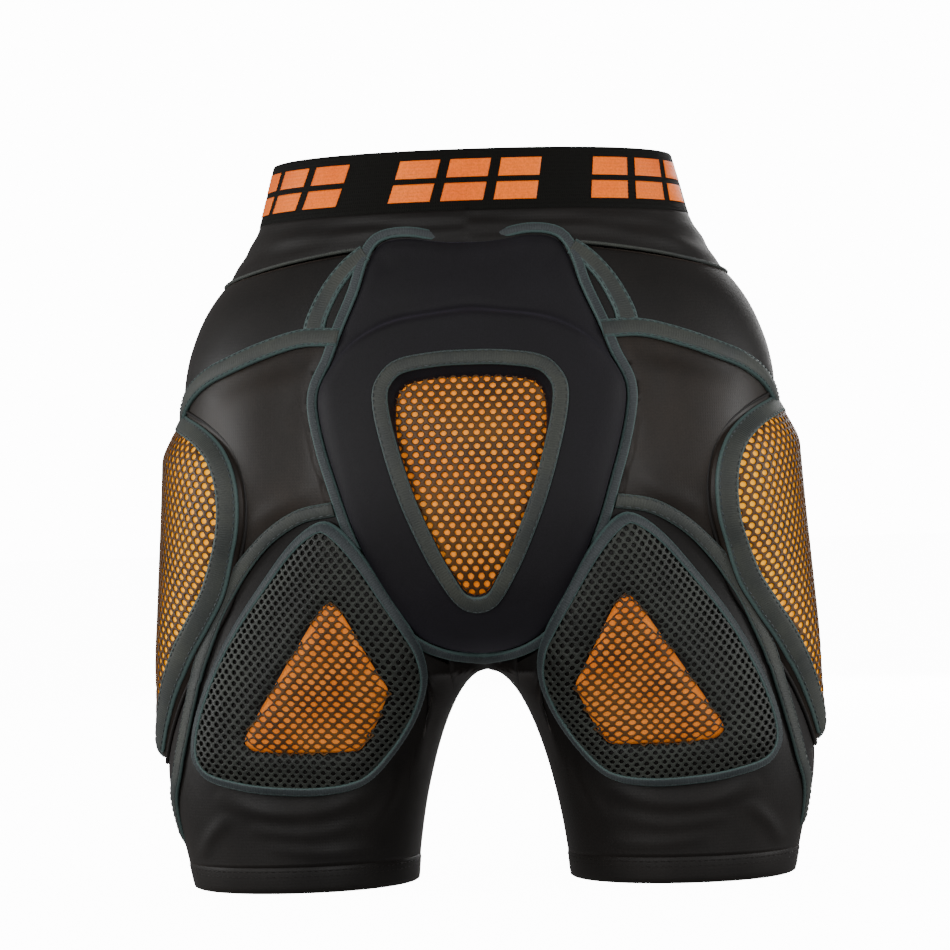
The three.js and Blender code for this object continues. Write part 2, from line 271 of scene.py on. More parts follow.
def underBody(x, t):
    # the crotch strip: t runs from its front top (-1) under the arch (0) to the back (1)
    x, t = together(x, t)
    z = mix(archHeight(x), np.where(t < 0, 196.0, body["crotch"] + 10), t * t)
    return np.stack([x, bodyDepth(np.abs(x), z, np.where(t < 0, 1.0, -1.0)), z], -1)


def normalTo(surface, a, b, stepA, stepB):
    # cross product of the two central differences
    along = surface(a + stepA, b) - surface(a - stepA, b)
    up = surface(a, b + stepB) - surface(a, b - stepB)
    return unit(np.cross(along, up))


edgePlace = 0.985  # normals are measured no nearer than this to a half's edge


def offBody(place, z, height, start=0.0):
    # point a height above the cloth, by place round the body
    place, z = together(place, z)
    surface = lambda a, b: aroundBody(a, b, start)
    normal = normalTo(surface, np.clip(place, -edgePlace, edgePlace), z, 0.012, 1.5)
    return surface(place, z) + normal * np.asarray(height)[..., None]


def offSeat(x, z, height, surface=seatBody, step=2.0):
    # the same by x and z on the seat side
    x, z = np.asarray(x, float), np.asarray(z, float)
    return surface(x, z) + normalTo(surface, x, z, step, step) * np.asarray(height)[..., None]


def offRear(x, z, height):
    # the same over the thigh
    return offSeat(x, z, height, thighBody, 5.0)


def offSide(along, z, height):
    # the same by cloth length from the side seam, positive towards the front
    return offBody(np.asarray(along, float) / body["sideArc"], z, height)


def halve(low, high, isBelow, rounds=24):
    # bisection on whole arrays: low moves up wherever isBelow(middle) holds
    low, high = np.array(low, float), np.array(high, float)
    for _ in range(rounds):
        middle = (low + high) / 2
        below = isBelow(middle)
        low, high = np.where(below, middle, low), np.where(below, high, middle)
    return low


def placeOf(x, z):
    # place round the body of a point x out on the seat side
    x, z = together(x, z)
    return halve(np.full(x.shape, -1.0), np.zeros(x.shape), lambda m: aroundBody(m, z)[..., 0] < x)


def ringAt(turn, z, height):
    # right round the waist: turn 0 to 1 goes from centre back to centre front on the right
    # half, and 1 to 2 comes back on the left one
    turn = np.mod(np.asarray(turn, float), 2)
    right = turn < 1
    point = offBody(np.where(right, 2 * turn - 1, 3 - 2 * turn), z, height)
    one = np.ones(turn.shape)
    return point * np.stack([np.where(right, 1, -1), one, one], -1)


# Finishes

def toLinear(hexColour):
    # sRGB to linear: c / 12.92 below 0.04045, else ((c + 0.055) / 1.055)^2.4
    c = np.array([int(hexColour[i:i + 2], 16) for i in (1, 3, 5)]) / 255
    return (*np.where(c <= 0.04045, c / 12.92, ((c + 0.055) / 1.055) ** 2.4).tolist(), 1.0)


def setInputs(tree, node, inputs):
    # each input is given a value, or linked from a socket
    for key, value in inputs.items():
        if isinstance(value, bpy.types.NodeSocket):
            tree.links.new(value, node.inputs[key])
        else:
            node.inputs[key].default_value = value
    return node


def addNode(tree, kind, inputs=None, **settings):
    node = tree.nodes.new("ShaderNode" + kind)
    for key, value in settings.items():
        setattr(node, key, value)
    return setInputs(tree, node, inputs or {})


def waves(pitch):
    # the Wave texture's scale for bands this many millimetres apart
    return 2 * pi / 20 / (pitch * mm)


def clothFinish(name, slot, look):
    # colour = dark and light tone mixed by slow clouds, darker between threads; height = two
    # crossing sets of threads, plus fuzz
    material = bpy.data.materials.new(name)
    material.use_nodes = True
    tree = material.node_tree
    room = addNode(tree, "TexCoord").outputs["Object"]
    cloth = addNode(tree, "UVMap", uv_map="clothLength").outputs["UV"]
    clouds = addNode(tree, "TexNoise", {
        "Vector": room, "Scale": 1000 / look["clouds"], "Detail": 4.0, "Roughness": 0.6})
    fuzz = addNode(tree, "TexNoise", {
        "Vector": room, "Scale": 1000 / look["fuzz"], "Detail": 2.0})
    sets = [addNode(tree, "TexWave", {
        "Vector": cloth, "Scale": waves(pitch), "Distortion": look["wobble"], "Detail": 1.0,
        "Detail Scale": 2.0}, wave_type="BANDS", bands_direction=way).outputs["Fac"]
        for pitch, way in zip(look["threads"], "XY")]
    threads = addNode(tree, "Math", {0: sets[0], 1: sets[1]}, operation="MAXIMUM").outputs[0]
    patches = addNode(tree, "MapRange", {
        "Value": clouds.outputs["Fac"], "From Min": 0.36, "From Max": 0.64}).outputs[0]
    tone = addNode(tree, "Mix", {
        0: patches, 6: toLinear(look["dark"]), 7: toLinear(look["light"])},
        data_type="RGBA").outputs[2]
    if "edge" in look:  # paler woven edges of a tape, by how far across it a point is
        apart = addNode(tree, "SeparateXYZ", {0: cloth}).outputs[1]
        far = addNode(tree, "Math", {0: apart}, operation="ABSOLUTE").outputs[0]
        rim = addNode(tree, "MapRange", {
            "Value": far, "From Min": look["edgeFrom"] * mm,
            "From Max": look["edgeFrom"] * mm + 0.0008}).outputs[0]
        tone = addNode(tree, "Mix", {0: rim, 6: tone, 7: toLinear(look["edge"])},
                       data_type="RGBA").outputs[2]
    shade = addNode(tree, "MapRange", {
        "Value": threads, "To Min": look["between"], "To Max": 1.0}).outputs[0]
    speck = addNode(tree, "MapRange", {
        "Value": fuzz.outputs["Fac"], "From Min": 0.3, "From Max": 0.7,
        "To Min": 0.86, "To Max": 1.14}).outputs[0]
    light = addNode(tree, "Math", {0: shade, 1: speck}, operation="MULTIPLY")
    colour = addNode(tree, "VectorMath", {0: tone, "Scale": light.outputs[0]}, operation="SCALE")
    rough = addNode(tree, "MapRange", {
        "Value": clouds.outputs["Fac"], "From Min": 0.3, "From Max": 0.7,
        "To Min": look["rough"][0], "To Max": look["rough"][1]})
    height = addNode(tree, "Math", {0: fuzz.outputs["Fac"], 1: look["fuzzShare"], 2: threads},
                     operation="MULTIPLY_ADD")
    bump = addNode(tree, "Bump", {
        "Strength": look["relief"], "Distance": look["deep"] * mm, "Height": height.outputs[0]})
    shader = setInputs(tree, tree.nodes["Principled BSDF"], {
        "Base Color": colour.outputs[0], "Roughness": rough.outputs[0],
        "Normal": bump.outputs[0], "Sheen Weight": look["sheen"], "Sheen Roughness": 0.45,
        "Sheen Tint": toLinear(look["sheenTint"]), "IOR": look["ior"],
        "Specular IOR Level": look["shine"]})
    if "glow" in look:  # painted glow: emission in the cloth's own dark colour, brighter than the lamps alone make it
        setInputs(tree, shader, {"Emission Color": toLinear(look["dark"]),
                                 "Emission Strength": look["glow"]})
    finishes[name] = dict(material=material, slot=slot)


finishes = {}
usual = dict(fuzz=0.9, fuzzShare=0.6, threads=(1.0, 1.0), wobble=0.6, between=0.86,
             rough=(0.6, 0.7), relief=0.3, deep=0.1, sheen=0.0, sheenTint="#ffffff", ior=1.5,
             shine=0.2)
knit = dict(threads=(1.5, 1.9), wobble=1.5, deep=0.12)
ribbed = dict(clouds=45, fuzz=0.8, fuzzShare=0.4, threads=(1.4, 9.0), wobble=0.2, deep=0.2,
              sheen=0.15, ior=1.48, shine=0.25)
bright = dict(ior=1.45, shine=0.1)
looks = dict(
    # Warp-knitted nylon and elastane, stretched: near black, smooth to the eye with a soft brown
    # sheen; its 0.4 mm loops are too fine to show and are drawn at 1.5 mm, very shallow.
    knittedNylon=("stretch_fabric", dict(
        knit, dark="#0b0908", light="#120f0d", clouds=70, fuzz=1.4, fuzzShare=0.8,
        rough=(0.5, 0.62), relief=0.25, sheen=0.06, sheenTint="#a08c80")),
    # The same cloth on the seat and the hip pad covers, its colour painted lighter and browner:
    # painted sheen for the soft highlights over the seat's curves, on top of a little real sheen.
    brushedNylon=("stretch_fabric", dict(
        knit, dark="#15100c", light="#1f1812", clouds=60, fuzz=1.2, fuzzShare=0.9, between=0.88,
        rough=(0.42, 0.52), relief=0.22, sheen=0.08, sheenTint="#a89684")),
    # Knit laminated to foam: taut and smooth, violet black, with a broad satin highlight.
    laminatedKnit=("pad_cover", dict(
        dark="#0b090c", light="#131115", clouds=80, fuzz=1.1, fuzzShare=0.7, threads=(1.3, 1.3),
        wobble=0.8, between=0.9, rough=(0.6, 0.72), relief=0.2, sheen=0.1, sheenTint="#9088a0")),
    # Woven elastic webbing: matt black with level ribs 2.2 mm apart and fine upright threads.
    wovenElastic=("elastic", dict(
        dark="#060604", light="#0b0a07", clouds=90, fuzzShare=0.5, threads=(1.2, 2.2), wobble=0.3,
        between=0.7, rough=(0.66, 0.78), relief=0.5, deep=0.25, sheen=0.03, sheenTint="#90887c",
        ior=1.45, shine=0.12)),
    # Folded grosgrain binding: slate grey, ribbed across every 1.4 mm, with paler teal edges;
    # the wide tape is a little browner.
    grosgrain=("binding_tape", dict(
        ribbed, dark="#2a2f31", light="#373b3d", between=0.78, rough=(0.55, 0.66), relief=0.45,
        sheenTint="#9cb0b0", edge="#3f504e", edgeFrom=1.7)),
    wideGrosgrain=("binding_tape", dict(
        ribbed, dark="#2b2e2d", light="#393b36", between=0.8, rough=(0.52, 0.64), relief=0.4,
        sheenTint="#a0aca8", edge="#3c4c4a", edgeFrom=3.4)),
    # Polyester spacer mesh: thick charcoal strands that catch the light on their crowns.
    spacerMesh=("spacer_mesh", dict(
        dark="#1b1d1a", light="#2b2e29", clouds=30, fuzzShare=0.8, threads=(0.8, 0.8),
        between=0.8, rough=(0.5, 0.62), relief=0.4, deep=0.15, sheen=0.2, sheenTint="#a8aca4",
        shine=0.3)),
    # Black polyester net over the orange cloth, slightly glossy, its colour painted brown for the
    # orange light that comes through and off the cloth beneath.
    polyesterNet=("orange_mesh", dict(
        dark="#3c240a", light="#573812", clouds=25, fuzz=0.8, threads=(0.7, 0.7), wobble=0.5,
        between=0.8, rough=(0.42, 0.55), sheen=0.15, sheenTint="#b09a88", shine=0.25)),
    # Bright knitted polyester under the net: amber at the hips, orange in the tail window and
    # browner on the thighs, a little paler where the pad pushes it up.
    # The amber and the orange are given a painted glow: emission that brightens them under any
    # light.
    amberKnit=("orange_mesh", dict(
        bright, dark="#ffa200", light="#ffbc20", clouds=28, sheenTint="#ffd9a0", glow=0.6)),
    orangeKnit=("orange_mesh", dict(
        bright, dark="#ff8814", light="#ffa034", clouds=24, sheenTint="#ffd0a0", glow=0.14)),
    rustKnit=("orange_mesh", dict(
        bright, dark="#d8701c", light="#e88430", clouds=24, sheenTint="#ffc890")),
    # EVA foam, skived to shape: dull charcoal with an open-cell speckle.
    evaFoam=("foam", dict(
        dark="#262628", light="#303033", clouds=20, fuzz=1.6, fuzzShare=2.0, threads=(7.0, 7.0),
        wobble=4.0, between=0.95, rough=(0.85, 0.95), relief=0.5, deep=0.3, ior=1.45)),
    # Heat-transfer print: flat bright orange film that follows the ribs of the elastic.
    transferPrint=("elastic", dict(
        dark="#ee6400", light="#fa7404", clouds=60, fuzz=1.2, fuzzShare=0.3, threads=(1.2, 2.2),
        wobble=0.3, between=0.93, rough=(0.42, 0.52), relief=0.25, deep=0.12)),
    # Polyester sewing thread, graphite with a twist.
    sewingThread=("binding_tape", dict(
        dark="#33393b", light="#434849", clouds=15, fuzz=0.5, fuzzShare=0.5, threads=(0.5, 0.5),
        wobble=0.4, between=0.8, rough=(0.5, 0.6), relief=0.4, sheen=0.1, sheenTint="#c0c8c8",
        shine=0.3)),
)
for finishName, (slotName, finishLook) in looks.items():
    clothFinish(finishName, slotName, dict(usual, **finishLook))
print("finishes made:", len(finishes))


# Meshes

def gridFaces(rows, columns, closeRows=False, closeColumns=False):
    # four corners of every cell of a grid of points, wrapped where it closes
    i, j = np.meshgrid(np.arange(rows - (not closeRows)), np.arange(columns - (not closeColumns)),
                       indexing="ij")
    a, b, c = i * columns, (i + 1) % rows * columns, (j + 1) % columns
    return np.stack([a + j, b + j, b + c, a + c], -1).reshape(-1, 4)


def addPiece(name, points, faces, finish, uv=None):
    # points (n, 3) on the pattern, and faces as lists of corners
    mesh = bpy.data.meshes.new(name)
    points = toRow(np.array(points, float).reshape(-1, 3))
    faces = faces.tolist() if isinstance(faces, np.ndarray) else faces
    mesh.from_pydata(points.tolist(), [], faces)
    if uv is not None:
        corner = np.zeros(len(mesh.loops), np.int32)
        mesh.loops.foreach_get("vertex_index", corner)
        flat = np.asarray(uv, float).reshape(-1, 2)[corner] * mm
        mesh.uv_layers.new(name="clothLength").data.foreach_set("uv", flat.ravel())
    mesh.polygons.foreach_set("use_smooth", np.ones(len(mesh.polygons), bool))
    mesh.materials.append(finishes[finish]["material"])
    mesh.update()
    piece = bpy.data.objects.new(name, mesh)
    bpy.context.scene.collection.objects.link(piece)
    return piece


def thicken(piece, thickness):
    solid = piece.modifiers.new("thickness", "SOLIDIFY")
    solid.thickness, solid.offset = thickness * mm, -1.0
    return piece


clothSim = dict(frames=20, pressure=4.0, tension=18.0, shear=8.0, bending=2.0)


def puff(piece, seam, cap):
    # swells the cloth between its seams by simulation; no point moves more than cap millimetres
    scene = bpy.context.scene
    held = piece.vertex_groups.new(name="seam")
    held.add([int(i) for i in seam], 1.0, "REPLACE")
    others = list(piece.modifiers)
    for other in others:
        other.show_viewport = False
    cloth = piece.modifiers.new("cloth", "CLOTH")
    s = cloth.settings
    s.quality, s.mass, s.air_damping = 6, 0.2, 5.0
    s.tension_stiffness = s.compression_stiffness = clothSim["tension"]
    s.shear_stiffness, s.bending_stiffness = clothSim["shear"], clothSim["bending"]
    s.vertex_group_mass = "seam"
    s.use_pressure, s.uniform_pressure_force = True, clothSim["pressure"]
    s.effector_weights.gravity = 0.0
    cloth.point_cache.frame_start, cloth.point_cache.frame_end = 1, clothSim["frames"]
    for number in range(clothSim["frames"]):
        scene.frame_set(number + 1)
    before, after = np.zeros((2, len(piece.data.vertices) * 3))
    piece.data.vertices.foreach_get("co", before)
    made = piece.evaluated_get(bpy.context.evaluated_depsgraph_get())
    made.data.vertices.foreach_get("co", after)
    move = (after - before).reshape(-1, 3)
    size = np.linalg.norm(move, axis=1, keepdims=True)
    limit = cap * mm
    move *= limit * np.tanh(size / limit) / np.maximum(size, 1e-9)
    piece.data.vertices.foreach_set("co", before + move.ravel())
    piece.modifiers.remove(cloth)
    for other in others:
        other.show_viewport = True
    piece.vertex_groups.remove(held)
    piece.data.update()
    scene.frame_set(1)
    print("puffed", piece.name, "by up to %.1f mm" % (np.linalg.norm(move, axis=1).max() * 1000))


def mirrorOf(piece, name):
    # the left copy of a finished right piece: x turned round, and every face with it
    mesh = piece.data.copy()
    mesh.name = name
    co = np.zeros(len(mesh.vertices) * 3)
    mesh.vertices.foreach_get("co", co)
    co[0::3] *= -1
    mesh.vertices.foreach_set("co", co)
    mesh.flip_normals()
    mesh.update()
    copy = bpy.data.objects.new(name, mesh)
    bpy.context.scene.collection.objects.link(copy)
    for solid in piece.modifiers:
        thicken(copy, solid.thickness * 1000)
    return copy


# How the pieces are held, and which node each stands for


def follow(piece):
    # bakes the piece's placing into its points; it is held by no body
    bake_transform(piece)


def asSheet(piece, stretch=1.04):
    # flat size = extent of the cloth lengths, taken back by how far the body stretches them
    uv = np.zeros(len(piece.data.loops) * 2)
    piece.data.uv_layers["clothLength"].data.foreach_get("uv", uv)
    flat = np.ptp(uv.reshape(-1, 2), axis=0) / stretch
    area = sum(p.area for p in piece.data.polygons) / stretch ** 2
    grow = max(1.0, (area / (flat[0] * flat[1])) ** 0.5)
    flat = (round(float(flat[0]) * grow + 0.0005, 3), round(float(flat[1]) * grow + 0.0005, 3))
    print("sheet", piece.name, "flat", flat, "area %.4f m2" % area)


def declare(piece, node, cloth):
    if node:
        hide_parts(node)
    if cloth:
        asSheet(piece)


def pair(name, make, node=None, cloth=False):
    # the right piece from make(name) and its mirror image; each hides the node it stands for, and
    # both are baked in place
    right = make("right_" + name)
    left = mirrorOf(right, "left_" + name)
    for piece, side, word in ((right, 1, "right_"), (left, -1, "left_")):
        declare(piece, node and word + node, cloth)
        follow(piece)


def centred(piece, node=None, cloth=False):
    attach(piece, "pelvis")
    declare(piece, node, cloth)


# Ways of making a piece

def foldHeight(x, z, folds):
    # each fold is a soft ridge along a line, height × e^(-(distance / width)²), fading at its
    # ends as a half sine
    total = np.zeros(np.shape(x))
    for points, width, height in folds:
        line = lineThrough(points, 40)
        gap = np.hypot(x[..., None] - line[:, 0], z[..., None] - line[:, 1])
        share = gap.argmin(-1) / (len(line) - 1)
        total += height * np.exp(-(gap.min(-1) / width) ** 2) * np.sin(pi * share) ** 0.6
    return total


clothThick = 1.2  # millimetres, as all shapes here


def clothGrid(name, low, high, across, columns, rows, finish, lift, start=0.0):
    # cloth between two seams: z = mix(low, high, t) on each column, and place = across(u, z)
    u, t = np.meshgrid(np.linspace(0, 1, columns), np.linspace(0, 1, rows), indexing="ij")
    z = mix(low(u[:, :1]), high(u[:, :1]), t)
    place = across(u, z)
    height = 0.6 + lift(aroundBody(place, z, start)[..., 0], z, place, u, t)
    uv = np.stack([place * body["sideArc"], z], -1)
    piece = addPiece(name, offBody(place, z, height, start), gridFaces(columns, rows), finish, uv)
    border = np.ones((columns, rows), bool)
    border[1:-1, 1:-1] = False
    piece["border"] = np.flatnonzero(border.ravel()).tolist()
    return thicken(piece, clothThick)


def pressed(name, loops, heights, put, finish, pole=None):
    # rings of flat points pressed onto the body: loops (rings, n, 2) with heights (rings, n),
    # and a pole that closes the middle of the first ring
    loops, heights = np.array(loops), np.array(heights)
    rings, n = loops.shape[:2]
    points = put(loops[..., 0], loops[..., 1], heights).reshape(-1, 3)
    uv, faces = loops.reshape(-1, 2), gridFaces(rings, n, False, True)
    if pole is not None:
        k = np.arange(n)
        fan = np.stack([np.full(n, rings * n), k, (k + 1) % n], -1)
        middle = np.array(pole[:2], float)
        points = np.vstack([points, put(middle[:1], middle[1:], np.array([pole[2]]))])
        uv = np.vstack([uv, middle])
        faces = faces.tolist() + fan.tolist()
    return addPiece(name, points, faces, finish, uv)


def filled(name, outline, middle, shares, ground, put, finish, thick):
    # cloth inside an outline: the outline drawn in to each share of itself, then a pole
    loops = [middle + (outline - middle) * share for share in shares]
    pole = (*middle, float(ground(middle[None])[0]))
    return thicken(pressed(name, loops, [ground(ring) for ring in loops], put, finish, pole), thick)


def foamBlock(name, rim, middle, spans, lid, put, crown):
    # skived block from its inner face over the edge to the outer one: the rim drawn in to each
    # share, at 1 mm plus that part of the lid's height, and a pole in each face
    loops = np.array([middle + (rim - middle) * share for share, _ in spans])
    heights = 1.0 + np.array([part for _, part in spans])[:, None] * lid(loops)
    points = put(loops[..., 0], loops[..., 1], heights).reshape(-1, 3)
    poles = put(middle[[0, 0]], middle[[1, 1]], np.array([1.0, crown]))
    count, n = loops.shape[:2]
    k, after, last = np.arange(n), (np.arange(n) + 1) % n, (count - 1) * n
    faces = gridFaces(count, n, False, True)[:, ::-1].tolist()
    faces += np.stack([np.full(n, count * n), after, k], -1).tolist()
    faces += np.stack([np.full(n, count * n + 1), last + k, last + after], -1).tolist()
    return addPiece(name, np.vstack([points, poles]), faces, "evaFoam",
                    np.vstack([loops.reshape(-1, 2), [middle, middle]]))


def tapeSection(width, thick):
    # flat tape: its top from right to left, rounded at both edges, then its underside
    half, low, shoulder, top = width / 2, 0.35 * thick, 0.85 * thick, thick * 1.12
    return np.array([[-half, low], [-half + 0.35, shoulder], [-0.4 * half, top],
                     [0, thick * 1.16], [0.4 * half, top], [half - 0.35, shoulder],
                     [half, low], [half - 0.3, -0.3], [-half + 0.3, -0.3]])


def layTape(name, centre, section, put, ground, finish, closed=True):
    # the section is carried along the centre line, each point set on the ground under it
    flat = centre[:, None] + section[None, :, :1] * leftOf(centre, closed)[:, None]
    points = put(flat[..., 0], flat[..., 1], ground(flat) + section[:, 1])
    n, k = flat.shape[:2]
    faces = gridFaces(n, k, closed, True).tolist()
    if not closed:
        faces += [list(range(k)), list(range(n * k - 1, (n - 1) * k - 1, -1))]
    uv = flatPoints(lengthAlong(centre)[:, None], section[:, 0])
    return addPiece(name, points, faces, finish, uv)


stitch = dict(length=2.6, pitch=3.9, wide=0.62, high=0.28)


def stitchRow(centre, offset, put, ground, closed=True):
    # points of every stitch: four sections along it, pinched at the ends, of four points each
    ends = closedUp(centre + leftOf(centre, closed) * offset, closed)
    length = lengthAlong(ends)
    count = int(length[-1] / stitch["pitch"])
    at = (np.arange(count) + 0.5) * length[-1] / count
    half = stitch["length"] / 2
    where = at[:, None] + np.array([-half, -0.6 * half, 0.6 * half, half])
    flat = np.stack([np.interp(where, length, ends[:, k]) for k in range(2)], -1)
    step = unit(flat[:, -1] - flat[:, 0])
    side = np.stack([-step[:, 1], step[:, 0]], -1)
    wide = stitch["wide"] * np.array([0.35, 1, 1, 0.35])
    high = stitch["high"] * np.array([0.2, 1, 1, 0.2])
    across, up = np.array([-0.5, 0, 0.5, 0]), np.array([0, 1, 0, -0.6])
    spot = flat[:, :, None] + (wide[:, None] * across)[None, ..., None] * side[:, None, None]
    height = ground(spot) + high[:, None] * up
    return put(spot[..., 0], spot[..., 1], height).reshape(-1, 3)


def stitches(name, rows, finish="sewingThread"):
    # every stitch has the same twelve walls and two ends
    points = np.vstack(rows)
    count = len(points) // 16
    base = np.vstack([gridFaces(4, 4, False, True), [[0, 1, 2, 3], [15, 14, 13, 12]]])
    faces = (base[None] + 16 * np.arange(count)[:, None, None]).reshape(-1, 4)
    return addPiece(name, points, faces, finish)


def net(name, outline, mesh, put, ground, finish, keepOut=None):
    # staggered six-sided cells, each a ring of quads round an oval hole; the cell's corners are
    # those of the Voronoi cell of its row pitch q and hole pitch p, and cells share them
    p, q, angle = mesh["pitch"], mesh["row"], radians(mesh.get("tilt", 0))
    low, high = outline.min(0) - 12, outline.max(0) + 12
    middle, reach = (low + high) / 2, np.linalg.norm(high - low) / 2
    jj, ii = np.meshgrid(*[np.arange(-int(reach / pitch) - 1, int(reach / pitch) + 2)
                           for pitch in (q, p)], indexing="ij")
    spots = np.stack([(ii + (jj % 2) * 0.5) * p, jj * q], -1).reshape(-1, 2)
    tip, shoulder = q / 2 + p * p / (8 * q), q / 2 - p * p / (8 * q)
    corner = np.array([[p / 2, -shoulder], [p / 2, shoulder], [0, tip], [-p / 2, shoulder],
                       [-p / 2, -shoulder], [0, -tip]])
    ring = np.stack([corner, (corner + np.roll(corner, -1, 0)) / 2], 1).reshape(-1, 2)
    turn = np.arctan2(ring[:, 1] / q, ring[:, 0] / p)
    hole = np.stack([np.cos(turn) * mesh["hole"][0], np.sin(turn) * mesh["hole"][1]], -1) / 2
    rot = np.array([[np.cos(angle), np.sin(angle)], [-np.sin(angle), np.cos(angle)]])
    cells = (spots[:, None] + np.vstack([ring, (ring + hole) / 2, hole])[None]) @ rot + middle
    centres = spots @ rot + middle
    keep = inside(centres, outline)
    if keepOut is not None:
        keep &= ~inside(centres, keepOut)
    cells = cells[keep]
    flat, where = np.unique(np.round(cells.reshape(-1, 2), 2), axis=0, return_inverse=True)
    where = where.reshape(len(cells), 3, 12)
    k = np.arange(12)
    after = (k + 1) % 12
    faces = np.concatenate([np.stack([where[:, r + 1, k], where[:, r, k], where[:, r, after],
                                      where[:, r + 1, after]], -1) for r in (0, 1)], 1)
    drop = np.zeros(len(flat))
    drop[where[:, 2].ravel()] = -mesh["droop"]
    drop[where[:, 0].ravel()] = -mesh["droop"] * 0.25
    points = put(flat[:, 0], flat[:, 1], ground(flat) + drop)
    return thicken(addPiece(name, points, faces.reshape(-1, 4), finish, flat), mesh["thick"])


# Camera, light and floor first, so that a stopped run still says where it looks

view = dict(distance=2.4, azimuth=2.4, height=0.22, seen=0.587, roll=-1.8,
            shift=(-0.009474, 0.047895), sensor=36.0)
target = Vector((0.0, float(patternShift[1]) * mm, view["height"]))
camera = bpy.data.objects.new("camera", bpy.data.cameras.new("camera"))
bpy.context.scene.collection.objects.link(camera)
camera.data.sensor_width = view["sensor"]
camera.data.lens = view["sensor"] * view["distance"] / view["seen"]
camera.data.shift_x, camera.data.shift_y = view["shift"]
camera.matrix_world = (Matrix.Translation(target)
                       @ Matrix.Rotation(radians(view["azimuth"]), 4, "Z")
                       @ Matrix.Translation((0, -view["distance"], 0))
                       @ Matrix.Rotation(radians(90), 4, "X")
                       @ Matrix.Rotation(radians(view["roll"]), 4, "Z"))
camera.data.clip_end = 100.0
bpy.context.scene.camera = camera

studio = dict(
    sky=dict(colour="#ffffff", low=0.27, high=0.32, backdrop=14.0),
    floor=dict(colour="#f4f4f2", rough=0.9, glow=13.0, half=30.0, below=0.0005),
    lamps=[  # place, size, watts
        ((-1.5, -2.4, 0.7), 1.6, 60.0), ((1.5, -2.3, 0.6), 1.6, 42.0),
        ((-2.3, 0.1, 0.5), 1.0, 30.0), ((2.3, 0.1, 0.5), 1.0, 28.0), ((0.0, 0.6, 2.4), 1.2, 3.0),
        ((0.7, 2.5, 0.9), 1.6, 34.0)],
)
sky = studio["sky"]
world = bpy.data.worlds.new("studio")
bpy.context.scene.world = world
world.use_nodes = True
tree = world.node_tree
upward = addNode(tree, "SeparateXYZ", {0: addNode(tree, "TexCoord").outputs["Generated"]})
strength = addNode(tree, "MapRange", {
    "Value": upward.outputs[2], "From Min": -0.15, "From Max": 0.7, "To Min": sky["low"],
    "To Max": sky["high"]})
background = setInputs(tree, tree.nodes["Background"], {
    "Color": toLinear(sky["colour"]), "Strength": strength.outputs[0]})
backdrop = addNode(tree, "Background", {
    "Color": toLinear(sky["colour"]), "Strength": sky["backdrop"]})
both = addNode(tree, "MixShader", {
    0: addNode(tree, "LightPath").outputs["Is Camera Ray"], 1: background.outputs[0],
    2: backdrop.outputs[0]})
setInputs(tree, tree.nodes["World Output"], {0: both.outputs[0]})
for number, (place, size, watts) in enumerate(studio["lamps"]):
    lamp = bpy.data.lights.new("softbox%d" % number, "AREA")
    lamp.shape, lamp.size, lamp.energy = "DISK", size, watts
    holder = bpy.data.objects.new(lamp.name, lamp)
    holder.location = place
    holder.rotation_euler = (target - Vector(place)).to_track_quat("-Z", "Y").to_euler()
    bpy.context.scene.collection.objects.link(holder)
paper = bpy.data.materials.new("paperFloor")
paper.use_nodes = True
ground = studio["floor"]
setInputs(paper.node_tree, paper.node_tree.nodes["Principled BSDF"], {
    "Base Color": toLinear(ground["colour"]), "Roughness": ground["rough"],
    "Emission Color": toLinear("#ffffff"), "Emission Strength": ground["glow"]})
far = ground["half"]
floorMesh = bpy.data.meshes.new("floor")
floorMesh.from_pydata([(-far, -far, 0), (far, -far, 0), (far, far, 0), (-far, far, 0)], [],
                      [(0, 1, 2, 3)])
floorMesh.materials.append(paper)
floor = bpy.data.objects.new("floor", floorMesh)
floor.location = (0, 0, -ground["below"])
bpy.context.scene.collection.objects.link(floor)
floor.visible_diffuse = floor.visible_glossy = False
print("camera, lamps and floor placed")


# Waistband, its print and the yoke

waist = dict(top=441.0, bottom=403.5, around=300, ribs=0.12, rib=2.2, out=0.9, halfRound=340,
             yokeLow=[[-1, 383], [-0.72, 383], [-0.5, 378], [-0.25, 371], [0, 367], [0.5, 371],
                      [1, 376]])


def yokeLow(place):
    return through(waist["yokeLow"], place)


def ribHeight(z):
    return waist["ribs"] * np.cos((z - waist["bottom"]) * 2 * pi / waist["rib"])


